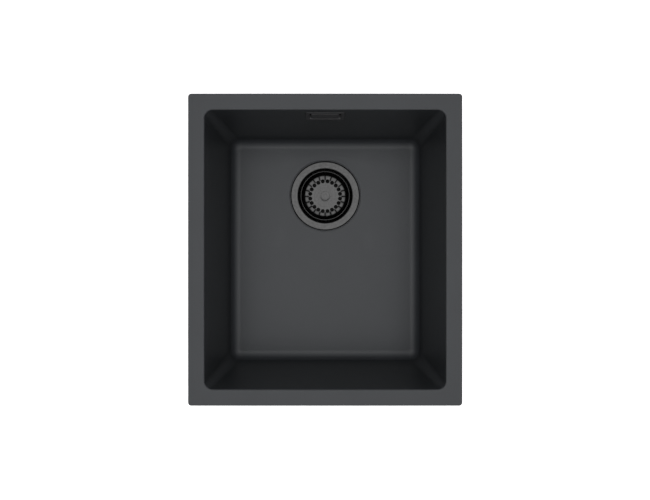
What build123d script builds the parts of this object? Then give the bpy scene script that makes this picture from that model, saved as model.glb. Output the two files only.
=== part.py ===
from build123d import *
import os
from math import atan2, cos, degrees, hypot, radians, sin, tan

# Undermount kitchen sink: a cast composite bowl with a basket waste and an overflow.
# Millimetres and degrees. The origin is the middle of the opening, on the rim's top plane.
# +Z is up, +Y is towards the rear wall with the overflow, +X is to the right.

# Cast bowl
rim_width = 369.0             # side to side
rim_length = 420.0            # front to rear
rim_land = 22.0               # flat rim between its outer edge and the opening
rim_thickness = 12.0
rim_corner = 4.5              # outer corners, seen from above
rim_edge_round = 1.0          # top outer edge
rim_lower_round = 1.0         # bottom outer edge
mouth_round = 2.2             # top inner edge
mouth_corner = 11.0           # corners of the opening, seen from above
bowl_depth = 200.0            # rim to floor, at the waste
wall = 9.0
floor_thickness = 12.0
draft = 3.6                   # lean of the walls
floor_fillet = 14.0           # between the walls and the floor
floor_corner_extra = 3.0      # corners between two walls at the floor, over the fillet
floor_fall = 0.6              # slope of the floor down to the waste
underside_extra = 6.0         # fillet round the underside, over the one inside

# Brass inserts in the underside of the rim
insert_radius = 4.2
insert_roof = 4.0             # composite left above an insert
insert_bore = 2.5             # tapped for an M6 clip screw
insert_bed = 0.05             # resin line round an insert
side_insert_pitch = 240.0     # between the two inserts on the left, and on the right
end_insert_pitch = 210.0      # between the two inserts at the front, and at the rear

# Waste hole and steel cup
waste_to_rear = 101.0         # waste to the rear edge of the opening
waste_hole_diameter = 90.0    # through the floor
flange_width = 11.0           # flange outside the waste hole
flange_gap = 1.3              # flange to the wall of its recess
flange_gasket_thickness = 1.6
sheet = 1.2                   # steel of the cup
flange_edge = 0.15            # straight edge below the rolled rim of the flange
flange_edge_gap = 0.15        # that edge to the floor of its recess
flange_bend_radius = 3.2      # where the flange turns down into the cup
cup_bend_radius = 1.0         # the cup's other bends, inside
cup_gap = 1.3                 # cup to the wall of the waste hole
ledge_rise = 2.4              # ledge at the cup's side, above its inner edge
gasket_set_back = 1.0         # gasket to the waste hole, and to the bend of the flange
cup_hole_radius = 5.5         # drain holes
cup_hole_land = 1.15          # drain holes to the plug's lip
cup_hole_count = 6

# Basket
basket_sheet = 1.0
basket_drop = 1.2             # rim of the basket below the top of the flange
basket_depth = 12.0           # rim to floor
basket_side_gap = 3.0         # rim of the basket to the cup
bead_width = 1.3              # rolled rim
bead_height = 2.0
basket_wall_lean = 4.8        # how far the steep wall comes in
flute_band = 7.6              # width of the fluted band
flute_rise = 2.0
crease_width = 0.8            # between two flutes
crease_depth = 0.5
basket_hole_radius = 3.2
basket_hole_reach = 1.9       # how far a hole runs into the fluted band
basket_hole_count = 20
ledge_reach = 2.9             # ledge under the steep wall, outside the fluted band
seat_gap = 0.3                # basket to the edge of the ledge

# Plug
stem_radius = 4.0
stem_clearance = 0.05         # stem in its bush, all round
stem_thread_radius = 3.0
bush_wall = 2.2
bush_lip = 0.5                # how far the bush's two flanges stand out
bush_flange = 1.0
bush_tail = 2.0               # bush below the basket
bush_fit = 0.03               # bush in the basket, all round
o_ring_section = 0.7          # radius of the ring's own section
knob_radius = 7.0
knob_height = 11.0
knob_neck = 4.9
knob_lift = 0.3               # knob above the bush
knob_thread = 6.0             # stem inside the knob
plug_travel = 8.0
plug_stop_gap = 0.3           # plate to bush when the plug is pulled up
plug_plate_radius = 18.0
plug_plate_thickness = 1.2
plug_side_gap = 6.3           # plug to the wall of the cup
plug_bevel = 4.0              # sloped shoulder of the rubber
plug_lip = 5.0                # width of the lip that closes on the seat
plug_web = 3.0
plug_washer_radius = 14.0
plug_washer_thickness = 1.2
nut_flats = 10.0
nut_height = 3.2
stem_tip = 0.3                # thread showing below the nut
stem_foot_gap = 0.3           # tip of the stem above the screw head
thread_fit = 0.03             # threaded pieces, all round

# Waste body
floor_pad = 2.0               # raised ring on the underside, round the waste hole
floor_pad_margin = 4.0
floor_seal_thickness = 3.0
floor_seal_land = 9.0         # seal outside the waste hole
body_flange_thickness = 4.0
body_gap = 4.0                # water gap between the cup and the body
body_wall = 3.0
body_cone_height = 16.0
hub_wall = 3.0
hub_floor = 2.0               # plastic under the brass insert
hub_draw = 1.0                # left between the hub and the cup, for tightening
rib_thickness = 3.0
rib_height = 7.0
rib_count = 4
centre_insert_wall = 2.0
centre_insert_length = 12.0
screw_radius = 3.0
screw_head_radius = 5.5
screw_head_height = 1.6
screw_clearance = 0.3
outlet_radius = 23.9          # outside of the 1 1/2 inch pipe thread
outlet_wall = 3.9
outlet_length = 24.0

# Overflow, let into the rear wall
overflow_rim_gap = 2.5        # elbow to the underside of the rim
overflow_width = 54.0         # recess in the wall
overflow_height = 33.0
overflow_recess = 3.5
overflow_corner = 3.0
overflow_step = 4.0           # recess edge to the hole through the wall
frame_fit = 0.4
frame_ring = 5.0              # face of the frame
frame_top_proud = 0.4         # the frame leans out of the wall towards its lower edge
frame_bottom_proud = 3.0
bridge_height = 9.0           # bar across the frame, behind the cover
bridge_thickness = 2.6
bridge_bite = 0.6             # bar let into the back of the frame
cover_side_slot = 2.5
cover_end_slot = 1.6
cover_thickness = 1.8
cover_round = 0.8
peg_radius = 1.5
peg_spread = 12.0             # between the cover's two pegs
peg_fit = 0.03
overflow_screw_spread = 27.0
overflow_screw_radius = 2.0
overflow_screw_head = 3.4
overflow_screw_head_height = 1.6
overflow_gasket_thickness = 2.0
gasket_overlap = 4.0          # gasket outside the hole in the wall
elbow_flange = 3.0
elbow_wall = 2.5
elbow_depth = 9.0             # housing at its top, behind its flange
post_radius = 4.0

# Overflow pipe and its slip joints
pipe_radius = 9.0
pipe_wall = 1.8
pipe_bend_radius = 30.0
pipe_fit = 0.15               # pipe in a spigot, all round
pipe_entry = 11.0             # pipe inside a spigot
spigot_wall = 2.2
spigot_thread = 26.0          # length of the upper spigot
slip_nut_wall = 1.7
slip_nut_rib = 1.0            # radius of a grip rib
slip_nut_rib_count = 12
slip_nut_thread = 11.0
slip_nut_lip = 3.0
cone_seal_height = 4.0
slip_nut_gap = 1.0            # upper nut to the outside of the bowl
branch_margin = 3.0           # lower nut to the flange of the waste body

# Heights and radii of the bowl
wall_slope = tan(radians(draft))
mouth_width = rim_width - 2 * rim_land
mouth_length = rim_length - 2 * rim_land
floor_corner = floor_fillet + floor_corner_extra
underside = -(bowl_depth + floor_thickness)
pad_bottom = underside - floor_pad
insert_top = -insert_roof
insert_edge = (rim_land - wall) / 2

# Flange and basket
flange_top = -bowl_depth
hole_radius = waste_hole_diameter / 2
flange_radius = hole_radius + flange_width
recess_radius = flange_radius + flange_gap
recess_depth = sheet + flange_gasket_thickness
flange_foot = flange_top - recess_depth + flange_edge_gap
flange_roll = flange_top - flange_foot - flange_edge
cup_radius = hole_radius - cup_gap - sheet
basket_rim = cup_radius - basket_side_gap
basket_rim_inner = basket_rim - bead_width
basket_top = flange_top - basket_drop
basket_floor = basket_top - basket_depth
basket_knee = basket_floor + flute_rise
flute_outer = basket_rim_inner - basket_wall_lean
flute_inner = flute_outer - flute_band
hole_circle = flute_inner + basket_hole_reach - basket_hole_radius
flute_slope = atan2(flute_rise, flute_band)
steep_slope = atan2(basket_depth - bead_height - flute_rise, basket_wall_lean)

# Plug, from the bush down to the seat in the cup
well_radius = flute_outer + ledge_reach
bush_bore = stem_radius + stem_clearance
bush_radius = bush_bore + bush_wall
bush_bottom = basket_floor - basket_sheet - bush_tail
knob_bottom = basket_floor + bush_flange + knob_lift
plate_top = bush_bottom - plug_stop_gap - plug_travel
seal_top = plate_top - plug_plate_thickness
web_bottom = seal_top - plug_web
washer_bottom = web_bottom - plug_washer_thickness
nut_bottom = washer_bottom - nut_height
stem_bottom = nut_bottom - stem_tip
seat = stem_bottom - stem_foot_gap - screw_head_height
plug_radius = well_radius - plug_side_gap
plug_lip_inner = plug_radius - plug_lip
thread_hole = stem_thread_radius + thread_fit

# Slip joints and waste body
spigot_bore = pipe_radius + pipe_fit
spigot_radius = spigot_bore + spigot_wall
slip_nut_bore = spigot_radius + thread_fit
slip_nut_body = slip_nut_bore + slip_nut_wall
slip_nut_radius = slip_nut_body + slip_nut_rib
body_top = pad_bottom - floor_seal_thickness
body_flange_radius = hole_radius + floor_seal_land
body_bore = well_radius + sheet + body_gap
centre_insert_radius = screw_radius + thread_fit + centre_insert_wall
hub_radius = centre_insert_radius + hub_wall
hub_top = seat - sheet - hub_draw
branch_height = body_top - body_flange_thickness - slip_nut_radius
branch_end = body_flange_radius + branch_margin + slip_nut_thread
cylinder_bottom = min(branch_height - spigot_radius - body_wall, hub_top - rib_height)
cone_bottom = cylinder_bottom - body_cone_height
outlet_bore = outlet_radius - outlet_wall
outlet_bottom = cone_bottom - outlet_length

# Overflow
hole_width = overflow_width - 2 * overflow_step
hole_height = overflow_height - 2 * overflow_step
plate_width = hole_width + 2 * gasket_overlap
plate_height = hole_height + 2 * gasket_overlap
overflow_drop = rim_thickness + overflow_rim_gap + plate_height / 2
face_width = overflow_width - 2 * frame_fit
face_height = overflow_height - 2 * frame_fit
frame_tilt = degrees(atan2(frame_bottom_proud - frame_top_proud, face_height))
frame_proud = (frame_top_proud + frame_bottom_proud) / 2
window_width = face_width - 2 * frame_ring
window_height = face_height - 2 * frame_ring
bridge_front = bridge_bite - overflow_recess
bridge_back = bridge_front - bridge_thickness
elbow_back = overflow_gasket_thickness + elbow_flange


# Shared shapes
def rod(radius, bottom, top):
    """A plain round bar about the Z axis, between two heights."""
    return Pos(0, 0, (top + bottom) / 2) * Cylinder(radius, top - bottom)


def ring(outer, inner, bottom, top):
    """A plain ring about the Z axis, between two heights."""
    return rod(outer, bottom, top) - rod(inner, bottom, top)


def turned(points, rounds=()):
    """A solid turned about the Z axis from (radius, height) points, with some corners rounded."""
    profile = make_face(Polyline(*points, close=True))
    for index, radius in rounds:
        corner = profile.vertices().sort_by_distance(points[index])[0]
        profile = fillet(corner, radius)
    return revolve(Plane.XZ * profile, Axis.Z)


def slab(width, height, corner, back, front):
    """A rounded rectangle about the Z axis, between two levels."""
    return extrude(Pos(0, 0, back) * RectangleRounded(width, height, corner), front - back)


def rear_wall(height):
    """Y of the inner face of the rear wall at a height."""
    return mouth_length / 2 + height * wall_slope


# Places: the waste's axis, the two faces of the rear wall at the overflow, and the pipe's ends.
# On the wall's faces X is to the right, Y is up along the wall and Z is out of it, into the bowl.
waste_y = mouth_length / 2 - waste_to_rear
at_waste = Pos(0, waste_y, 0)
inward = Vector(0, -cos(radians(draft)), sin(radians(draft)))
wall_depth = wall * cos(radians(draft))
overflow_middle = Vector(0, rear_wall(-overflow_drop), -overflow_drop)
inner_face = Plane(origin=overflow_middle, x_dir=(1, 0, 0), z_dir=inward)
outer_face = Plane(origin=overflow_middle - inward * wall_depth, x_dir=(1, 0, 0), z_dir=inward)
frame_front = Pos(0, 0, frame_proud) * Rot(frame_tilt, 0, 0)

neck_top = -overflow_drop - plate_height / 2 - elbow_wall
upper_end = neck_top - spigot_thread
pipe_y = rear_wall(upper_end + slip_nut_thread) + wall + slip_nut_gap + slip_nut_radius
upper_frame = Plane(origin=(0, pipe_y, upper_end), x_dir=(1, 0, 0), z_dir=(0, 0, -1))
lower_frame = Plane(origin=(0, waste_y + branch_end, branch_height), x_dir=(1, 0, 0), z_dir=(0, 1, 0))


# Cast bowl
def bowl_taper(grow, bottom):
    """The tapered body of the bowl, or its hollow, from the rim's top plane down."""
    width = mouth_width + 2 * grow
    length = mouth_length + 2 * grow
    narrow = 2 * bottom * wall_slope
    upper = RectangleRounded(width, length, mouth_corner + grow)
    lower = RectangleRounded(width + narrow, length + narrow, floor_corner + grow)
    return loft([upper, Pos(0, 0, bottom) * lower], ruled=True)


def bowl_hollow():
    """The space in the bowl, whose floor is a shallow cone about the waste."""
    reach = hypot(rim_width, rim_length)
    far_floor = flange_top + (reach - recess_radius) * tan(radians(floor_fall))
    over_floor = [
        (0, flange_top),
        (recess_radius, flange_top),
        (reach, far_floor),
        (reach, rim_thickness),
        (0, rim_thickness),
    ]
    hollow = bowl_taper(0, flange_top - recess_depth) & (at_waste * turned(over_floor))
    low_edges = hollow.edges().filter_by(lambda edge: edge.bounding_box().max.Z < -bowl_depth / 2)
    return fillet(low_edges.filter_by(GeomType.CIRCLE, reverse=True), floor_fillet)


def sink_bowl():
    body = bowl_taper(wall, underside)
    body = fillet(body.faces().sort_by(Axis.Z)[0].edges(), floor_fillet + underside_extra)
    rim = slab(rim_width, rim_length, rim_corner, -rim_thickness, 0)
    rim = fillet(rim.faces().sort_by(Axis.Z)[-1].edges(), rim_edge_round)
    rim = fillet(rim.faces().sort_by(Axis.Z)[0].edges(), rim_lower_round)
    pad = at_waste * rod(body_flange_radius + floor_pad_margin, pad_bottom, underside + floor_thickness / 2)
    bowl = body + rim + pad - bowl_hollow()
    mouth = bowl.faces().filter_by(Axis.Z).sort_by(Axis.Z)[-1].inner_wires()[0]
    bowl = fillet(mouth.edges(), mouth_round)

    bowl -= at_waste * rod(hole_radius, pad_bottom, flange_top)
    bowl -= at_waste * rod(recess_radius, flange_top - recess_depth, flange_top + recess_depth)
    recess = slab(overflow_width, overflow_height, overflow_corner, -overflow_recess, overflow_recess)
    passage = slab(hole_width, hole_height, overflow_corner, -2 * wall, 0)
    bowl -= inner_face * (recess + passage)
    hole = rod(insert_radius + insert_bed, -rim_thickness, insert_top)
    for x, y in insert_places():
        bowl -= Pos(x, y, 0) * hole
    return bowl


# Brass inserts, two along each side of the rim
def insert_places():
    places = []
    for x in (-1, 1):
        for y in (-1, 1):
            places.append((x * (rim_width / 2 - insert_edge), y * side_insert_pitch / 2))
            places.append((x * end_insert_pitch / 2, y * (rim_length / 2 - insert_edge)))
    return places


def rim_inserts():
    insert = ring(insert_radius, insert_bore, -rim_thickness, insert_top)
    return [Pos(x, y, 0) * insert for x, y in insert_places()]


# Basket: a pressed dish with a rolled rim, a band of flutes and a ring of holes
def under_sheet(radius, height, slope_inside, slope_outside):
    """The point under a bend of the basket's sheet, from the slopes on the two sides of it."""
    middle = (slope_inside + slope_outside) / 2
    reach = basket_sheet / cos((slope_outside - slope_inside) / 2)
    return (radius + reach * sin(middle), height - reach * cos(middle))


under_knee = under_sheet(flute_outer, basket_knee, flute_slope, steep_slope)


def basket():
    bush_hole = bush_radius + bush_fit
    bead_bottom = basket_top - bead_height
    points = [
        (basket_rim, basket_top),
        (basket_rim_inner, basket_top),
        (basket_rim_inner, bead_bottom),
        (flute_outer, basket_knee),
        (flute_inner, basket_floor),
        (bush_hole, basket_floor),
        (bush_hole, basket_floor - basket_sheet),
        under_sheet(flute_inner, basket_floor, 0, flute_slope),
        under_knee,
        under_sheet(basket_rim_inner, bead_bottom, steep_slope, steep_slope),
        (basket_rim, bead_bottom),
    ]
    bead_round = 0.45 * bead_width
    dish = turned(points, [(0, bead_round), (1, bead_round)])
    hole = rod(basket_hole_radius, basket_floor - 2 * basket_sheet, basket_knee)
    half_pitch = 180 / basket_hole_count
    dish -= [place * hole for place in PolarLocations(hole_circle, basket_hole_count, half_pitch)]
    crease = Rot(0, -degrees(flute_slope), 0) * Box(flute_band, crease_width, 2 * crease_depth)
    crease = Pos(0, 0, basket_floor + flute_rise / 2) * crease
    crease_middle = (flute_inner + flute_outer) / 2
    dish -= [place * crease for place in PolarLocations(crease_middle, basket_hole_count)]
    return at_waste * dish


def basket_bush():
    lip = bush_radius + bush_lip
    points = [
        (bush_bore, bush_bottom),
        (lip, bush_bottom),
        (lip, basket_floor - basket_sheet),
        (bush_radius, basket_floor - basket_sheet),
        (bush_radius, basket_floor),
        (lip, basket_floor),
        (lip, basket_floor + bush_flange),
        (bush_bore, basket_floor + bush_flange),
    ]
    middle = basket_floor - basket_sheet / 2
    groove = rod(bush_bore + 2 * o_ring_section, middle - o_ring_section, middle + o_ring_section)
    return at_waste * (turned(points) - groove)


def stem_o_ring():
    middle = basket_floor - basket_sheet / 2
    section = Pos(bush_bore + o_ring_section, middle) * Circle(o_ring_section)
    return at_waste * revolve(Plane.XZ * section, Axis.Z)


# Steel cup with its flange, pressed from one sheet; the basket rests on the edge of its ledge
ledge = under_knee[1] + (well_radius - under_knee[0]) * tan(steep_slope) - seat_gap / cos(steep_slope)
ledge_slope = atan2(ledge_rise, cup_radius - well_radius)


def under_ledge(radius):
    """The height of the ledge's lower face at a radius."""
    return ledge + (radius - well_radius) * tan(ledge_slope) - sheet / cos(ledge_slope)


def strainer_cup():
    screw_hole = screw_radius + screw_clearance
    points = [
        (flange_radius - sheet, flange_top - sheet),
        (flange_radius - sheet, flange_foot),
        (flange_radius, flange_foot),
        (flange_radius, flange_top),
        (cup_radius, flange_top),
        (cup_radius, ledge + ledge_rise),
        (well_radius, ledge),
        (well_radius, seat),
        (screw_hole, seat),
        (screw_hole, seat - sheet),
        (well_radius + sheet, seat - sheet),
        (well_radius + sheet, under_ledge(well_radius + sheet)),
        (cup_radius + sheet, under_ledge(cup_radius + sheet)),
        (cup_radius + sheet, flange_top - sheet),
    ]
    outer_bend = cup_bend_radius + sheet
    rim_bends = [(3, flange_roll), (0, flange_roll - sheet)]
    flange_bends = [(4, flange_bend_radius), (13, flange_bend_radius - sheet)]
    ledge_bends = [(5, cup_bend_radius), (12, outer_bend), (11, cup_bend_radius)]
    floor_bends = [(7, cup_bend_radius), (10, outer_bend)]
    cup = turned(points, rim_bends + flange_bends + ledge_bends + floor_bends)
    hole = rod(cup_hole_radius, seat - 2 * sheet, seat + sheet)
    holes_at = plug_lip_inner - cup_hole_land - cup_hole_radius
    cup -= [place * hole for place in PolarLocations(holes_at, cup_hole_count)]
    return at_waste * cup


def flange_gasket():
    outer = flange_radius - flange_roll - gasket_set_back
    inner = hole_radius + gasket_set_back
    return at_waste * ring(outer, inner, flange_top - recess_depth, flange_top - sheet)


# Plug: knob and stem above, rubber and its clamp below
def pull_knob():
    points = [
        (0, knob_bottom + knob_thread),
        (thread_hole, knob_bottom + knob_thread),
        (thread_hole, knob_bottom),
        (knob_radius, knob_bottom),
        (knob_neck, knob_bottom + knob_height / 3),
        (knob_radius, knob_bottom + 2 * knob_height / 3),
        (knob_radius, knob_bottom + knob_height),
        (0, knob_bottom + knob_height),
    ]
    return at_waste * turned(points, [(6, knob_height / 8)])


def plug_stem():
    stem = rod(stem_radius, plate_top, knob_bottom)
    stem += rod(stem_thread_radius, stem_bottom, knob_bottom + knob_thread)
    return at_waste * stem


def plug_plate():
    return at_waste * ring(plug_plate_radius, thread_hole, seal_top, plate_top)


def plug_seal():
    points = [
        (thread_hole, seal_top),
        (plug_radius - plug_bevel, seal_top),
        (plug_radius, web_bottom),
        (plug_radius, seat),
        (plug_lip_inner, seat),
        (plug_lip_inner, web_bottom),
        (thread_hole, web_bottom),
    ]
    return at_waste * turned(points)


def plug_washer():
    return at_waste * ring(plug_washer_radius, thread_hole, washer_bottom, web_bottom)


def stem_nut():
    hexagon = RegularPolygon(nut_flats / 2, 6, major_radius=False)
    nut = extrude(Pos(0, 0, nut_bottom) * hexagon, nut_height)
    return at_waste * (nut - rod(thread_hole, nut_bottom, washer_bottom))


# Slip joints, in a frame whose Z axis runs out of the spigot from its end face
def slip_nut():
    nut_end = cone_seal_height + slip_nut_lip
    pipe_hole = pipe_radius + pipe_fit
    points = [
        (slip_nut_bore, -slip_nut_thread),
        (slip_nut_body, -slip_nut_thread),
        (slip_nut_body, nut_end),
        (pipe_hole, nut_end),
        (pipe_hole, cone_seal_height),
        (slip_nut_bore, cone_seal_height),
    ]
    rib = rod(slip_nut_rib, -slip_nut_thread, nut_end)
    return turned(points) + [place * rib for place in PolarLocations(slip_nut_body, slip_nut_rib_count)]


def cone_seal():
    inner = pipe_radius + thread_fit
    points = [
        (inner, 0),
        (spigot_radius, 0),
        (spigot_radius, cone_seal_height / 2),
        (inner + spigot_wall / 2, cone_seal_height),
        (inner, cone_seal_height),
    ]
    return turned(points)


# Waste body: flange, cylinder, hub on ribs and overflow branch
def waste_body():
    outside = [
        (body_bore, body_top),
        (body_flange_radius, body_top),
        (body_flange_radius, body_top - body_flange_thickness),
        (body_bore + body_wall, body_top - body_flange_thickness),
        (body_bore + body_wall, cylinder_bottom),
        (body_bore, cylinder_bottom),
    ]
    mid_wall = body_bore + body_wall / 2
    branch_frame = at_waste.inverse() * lower_frame.location
    body = turned(outside) + branch_frame * rod(spigot_radius, mid_wall - branch_end, 0)
    body -= rod(body_bore, cylinder_bottom, body_top)
    body -= branch_frame * rod(spigot_bore, hub_radius - branch_end, 0)
    rib = Box(mid_wall, rib_thickness, rib_height, align=(Align.MIN, Align.CENTER, Align.MAX))
    rib = Pos(0, 0, hub_top) * rib
    for index in range(rib_count):
        body += Rot(0, 0, (index + 0.5) * 360 / rib_count) * rib
    insert_bottom = hub_top - centre_insert_length
    body += rod(hub_radius, insert_bottom - hub_floor, hub_top)
    body -= rod(centre_insert_radius + thread_fit, insert_bottom, hub_top)
    return at_waste * body


# Outlet cone: moulded apart and welded to the lower edge of the waste body
def outlet_cone():
    points = [
        (body_bore, cylinder_bottom),
        (body_bore + body_wall, cylinder_bottom),
        (outlet_radius, cone_bottom),
        (outlet_radius, outlet_bottom),
        (outlet_bore, outlet_bottom),
        (outlet_bore, cone_bottom),
    ]
    return at_waste * turned(points)


def floor_seal():
    return at_waste * ring(body_flange_radius, hole_radius, body_top, pad_bottom)


def centre_insert():
    insert_bottom = hub_top - centre_insert_length
    return at_waste * ring(centre_insert_radius, screw_radius + thread_fit, insert_bottom, hub_top)


def centre_screw():
    head_top = seat + screw_head_height
    screw = rod(screw_radius, hub_top - centre_insert_length + hub_draw, seat)
    screw += rod(screw_head_radius, seat, head_top)
    socket = extrude(RegularPolygon(screw_head_radius / 2, 6), screw_head_height / 2)
    return at_waste * (screw - Pos(0, 0, head_top - screw_head_height / 2) * socket)


# Overflow frame and its cover, on the inner face of the wall
def both_sides(spread):
    """Two places, left and right of the overflow's middle."""
    return [Pos(-spread / 2, 0, 0), Pos(spread / 2, 0, 0)]


def overflow_frame():
    deep = overflow_recess + frame_bottom_proud
    frame = slab(face_width, face_height, overflow_corner, -overflow_recess, deep)
    frame -= frame_front * Pos(0, 0, deep) * Box(2 * face_width, 2 * face_height, 2 * deep)
    frame -= slab(window_width, window_height, overflow_corner / 2, -overflow_recess, deep)
    bridge = Box((window_width + hole_width) / 2, bridge_height, bridge_thickness)
    frame += Pos(0, 0, (bridge_front + bridge_back) / 2) * bridge
    for place in both_sides(overflow_screw_spread):
        frame -= place * rod(overflow_screw_radius + screw_clearance, bridge_back, bridge_front)
    for place in both_sides(peg_spread):
        frame -= place * rod(peg_radius + peg_fit, bridge_back, bridge_front)
    return inner_face * frame


def overflow_cover():
    width = window_width - 2 * cover_side_slot
    height = window_height - 2 * cover_end_slot
    plate = slab(width, height, overflow_corner / 2, -cover_thickness, 0)
    cover = frame_front * fillet(plate.faces().sort_by(Axis.Z)[-1].edges(), cover_round)
    for place in both_sides(peg_spread):
        cover += place * rod(peg_radius, bridge_back, frame_proud - cover_thickness / 2)
    return inner_face * cover


# Overflow elbow, its gasket and its screws, on the outer face of the wall
screw_tip = -elbow_back
post_front = wall_depth + bridge_back


def overflow_screws():
    head_bottom = wall_depth + bridge_front
    head_top = head_bottom + overflow_screw_head_height
    screw = rod(overflow_screw_radius, screw_tip, head_bottom)
    screw += rod(overflow_screw_head, head_bottom, head_top)
    slot = Box(2 * overflow_screw_head, overflow_screw_radius / 2, overflow_screw_head_height)
    screw -= Pos(0, 0, head_top) * slot
    return [outer_face * place * screw for place in both_sides(overflow_screw_spread)]


def overflow_gasket():
    gasket = slab(plate_width, plate_height, overflow_corner, -overflow_gasket_thickness, 0)
    gasket -= slab(hole_width, hole_height, overflow_corner, -overflow_gasket_thickness, 0)
    return outer_face * gasket


def elbow_funnel(front_y, inset):
    """The funnel behind the wall: an outline seen from the side, cut by one seen from the front."""
    top = hole_height / 2 + elbow_wall - overflow_drop - inset
    top_y = rear_wall(top) + wall + elbow_back + elbow_depth - inset
    half = hole_width / 2 + elbow_wall - inset
    neck = spigot_radius - inset
    waist = neck_top + (top - neck_top) / 3
    side = Polyline(
        (front_y, top),
        (top_y, top),
        (pipe_y + neck, neck_top),
        (pipe_y - neck, neck_top),
        (front_y, waist),
        close=True,
    )
    front = Polyline(
        (-half, top),
        (half, top),
        (half, waist),
        (neck, neck_top),
        (-neck, neck_top),
        (-half, waist),
        close=True,
    )
    from_side = extrude(Plane.YZ * make_face(side), half, both=True)
    from_front = extrude(Plane.XZ * make_face(front), rim_length, both=True)
    return from_side & from_front


def overflow_elbow():
    plate_middle = rear_wall(-overflow_drop) + wall + overflow_gasket_thickness + elbow_flange / 2
    funnel = elbow_funnel(plate_middle, 0)
    passage = slab(hole_width, hole_height, overflow_corner, -elbow_back, post_front)
    flange = slab(plate_width, plate_height, overflow_corner, -elbow_back, -overflow_gasket_thickness)
    elbow = funnel + outer_face * flange
    elbow += upper_frame * rod(spigot_radius, -spigot_thread, 0)
    elbow -= elbow_funnel(plate_middle - elbow_flange, elbow_wall)
    elbow -= outer_face * passage
    elbow -= upper_frame * rod(spigot_bore, -spigot_thread - elbow_wall, 0)
    post = rod(post_radius, -rim_land - wall, post_front)
    post -= rod(overflow_screw_radius + thread_fit, screw_tip, post_front)
    for place in both_sides(overflow_screw_spread):
        elbow += (outer_face * place * post) & (funnel + outer_face * passage)
    return elbow


# Overflow pipe: straight down from the elbow, one bend, and forward into the waste body
def overflow_pipe():
    top = (0, pipe_y, upper_end + pipe_entry)
    corner = (0, pipe_y, branch_height)
    end = (0, waste_y + branch_end - pipe_entry, branch_height)
    route = FilletPolyline(top, corner, end, radius=pipe_bend_radius)
    section = Circle(pipe_radius) - Circle(pipe_radius - pipe_wall)
    return sweep(Plane(origin=top, z_dir=(0, 0, -1)) * section, route)


nodes = {
    "sink_bowl": sink_bowl(),
    "rim_inserts": rim_inserts(),
    "strainer_cup": strainer_cup(),
    "flange_gasket": flange_gasket(),
    "basket": basket(),
    "basket_bush": basket_bush(),
    "stem_o_ring": stem_o_ring(),
    "pull_knob": pull_knob(),
    "plug_stem": plug_stem(),
    "plug_plate": plug_plate(),
    "plug_seal": plug_seal(),
    "plug_washer": plug_washer(),
    "stem_nut": stem_nut(),
    "waste_body": waste_body(),
    "outlet_cone": outlet_cone(),
    "floor_seal": floor_seal(),
    "centre_insert": centre_insert(),
    "centre_screw": centre_screw(),
    "overflow_frame": overflow_frame(),
    "overflow_cover": overflow_cover(),
    "overflow_screws": overflow_screws(),
    "overflow_gasket": overflow_gasket(),
    "overflow_elbow": overflow_elbow(),
    "overflow_pipe": overflow_pipe(),
    "upper_nut": upper_frame * slip_nut(),
    "upper_cone_seal": upper_frame * cone_seal(),
    "lower_nut": lower_frame * slip_nut(),
    "lower_cone_seal": lower_frame * cone_seal(),
}

os.makedirs("parts", exist_ok=True)
for name, piece in nodes.items():
    whole = Compound(children=piece) if isinstance(piece, list) else piece
    export_step(whole, f"parts/{name}.step")
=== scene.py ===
from math import atan2, ceil, cos, hypot, pi, radians, sin, sqrt, tan

import bmesh
import bpy
from mathutils import Matrix, Vector


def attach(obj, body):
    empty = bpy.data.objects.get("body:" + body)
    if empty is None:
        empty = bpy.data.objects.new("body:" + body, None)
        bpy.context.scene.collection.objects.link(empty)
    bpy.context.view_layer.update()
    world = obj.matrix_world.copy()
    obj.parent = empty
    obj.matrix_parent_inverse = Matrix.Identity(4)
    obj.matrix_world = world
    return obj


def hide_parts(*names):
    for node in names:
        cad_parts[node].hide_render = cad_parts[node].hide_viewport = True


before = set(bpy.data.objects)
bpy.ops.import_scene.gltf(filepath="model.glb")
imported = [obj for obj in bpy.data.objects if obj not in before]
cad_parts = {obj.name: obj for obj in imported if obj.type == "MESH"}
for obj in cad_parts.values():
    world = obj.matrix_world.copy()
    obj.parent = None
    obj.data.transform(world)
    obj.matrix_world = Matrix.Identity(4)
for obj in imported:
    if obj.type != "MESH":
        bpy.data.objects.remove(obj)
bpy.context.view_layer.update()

# Bowl
# One casting of quartz sand in dark grey acrylic resin: a flat rim, leaning walls and a rounded
# floor that falls to the waste. The rim is bedded on sealant under a worktop and held by clips.
mm = 0.001
mouth_half = (162.5, 188.0)
mouth_corner = 11.0
mouth_round = 2.2
rim_land = 22.0
rim_corner = 4.5
rim_thickness = 12.0
rim_top_round = 1.0
rim_lower_round = 1.0
rim_root = 1.5                     # cast fillet under the rim
wall = 9.0
draft = radians(3.6)
wall_slope = tan(draft)
corner_growth = 0.0296             # corners widen towards the floor, in mm for each mm of depth
floor_z = -200.0
floor_fillet = 14.0
floor_fall = tan(radians(0.6))
underside_z = -212.0
underside_fillet = 20.0
waste_y = 87.0
recess_radius = 57.3
recess_z = -202.8
hole_radius = 45.0
pad_radius = 58.0
pad_z = -214.0
edge_break = 0.5
rim_seam = 1.0                     # between the first and the last row of points on the rim's edge
overcut = 1.0                      # how far a cutting solid reaches past the face that it cuts
corner_steps = 10                  # points round each corner of an outline
side_steps = 40                    # points along each side of it
weld_reach = 0.0005 * mm           # points of a cut that lie closer than this become one
sharp_angle = radians(34)          # edges that turn more than this are drawn sharp


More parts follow.
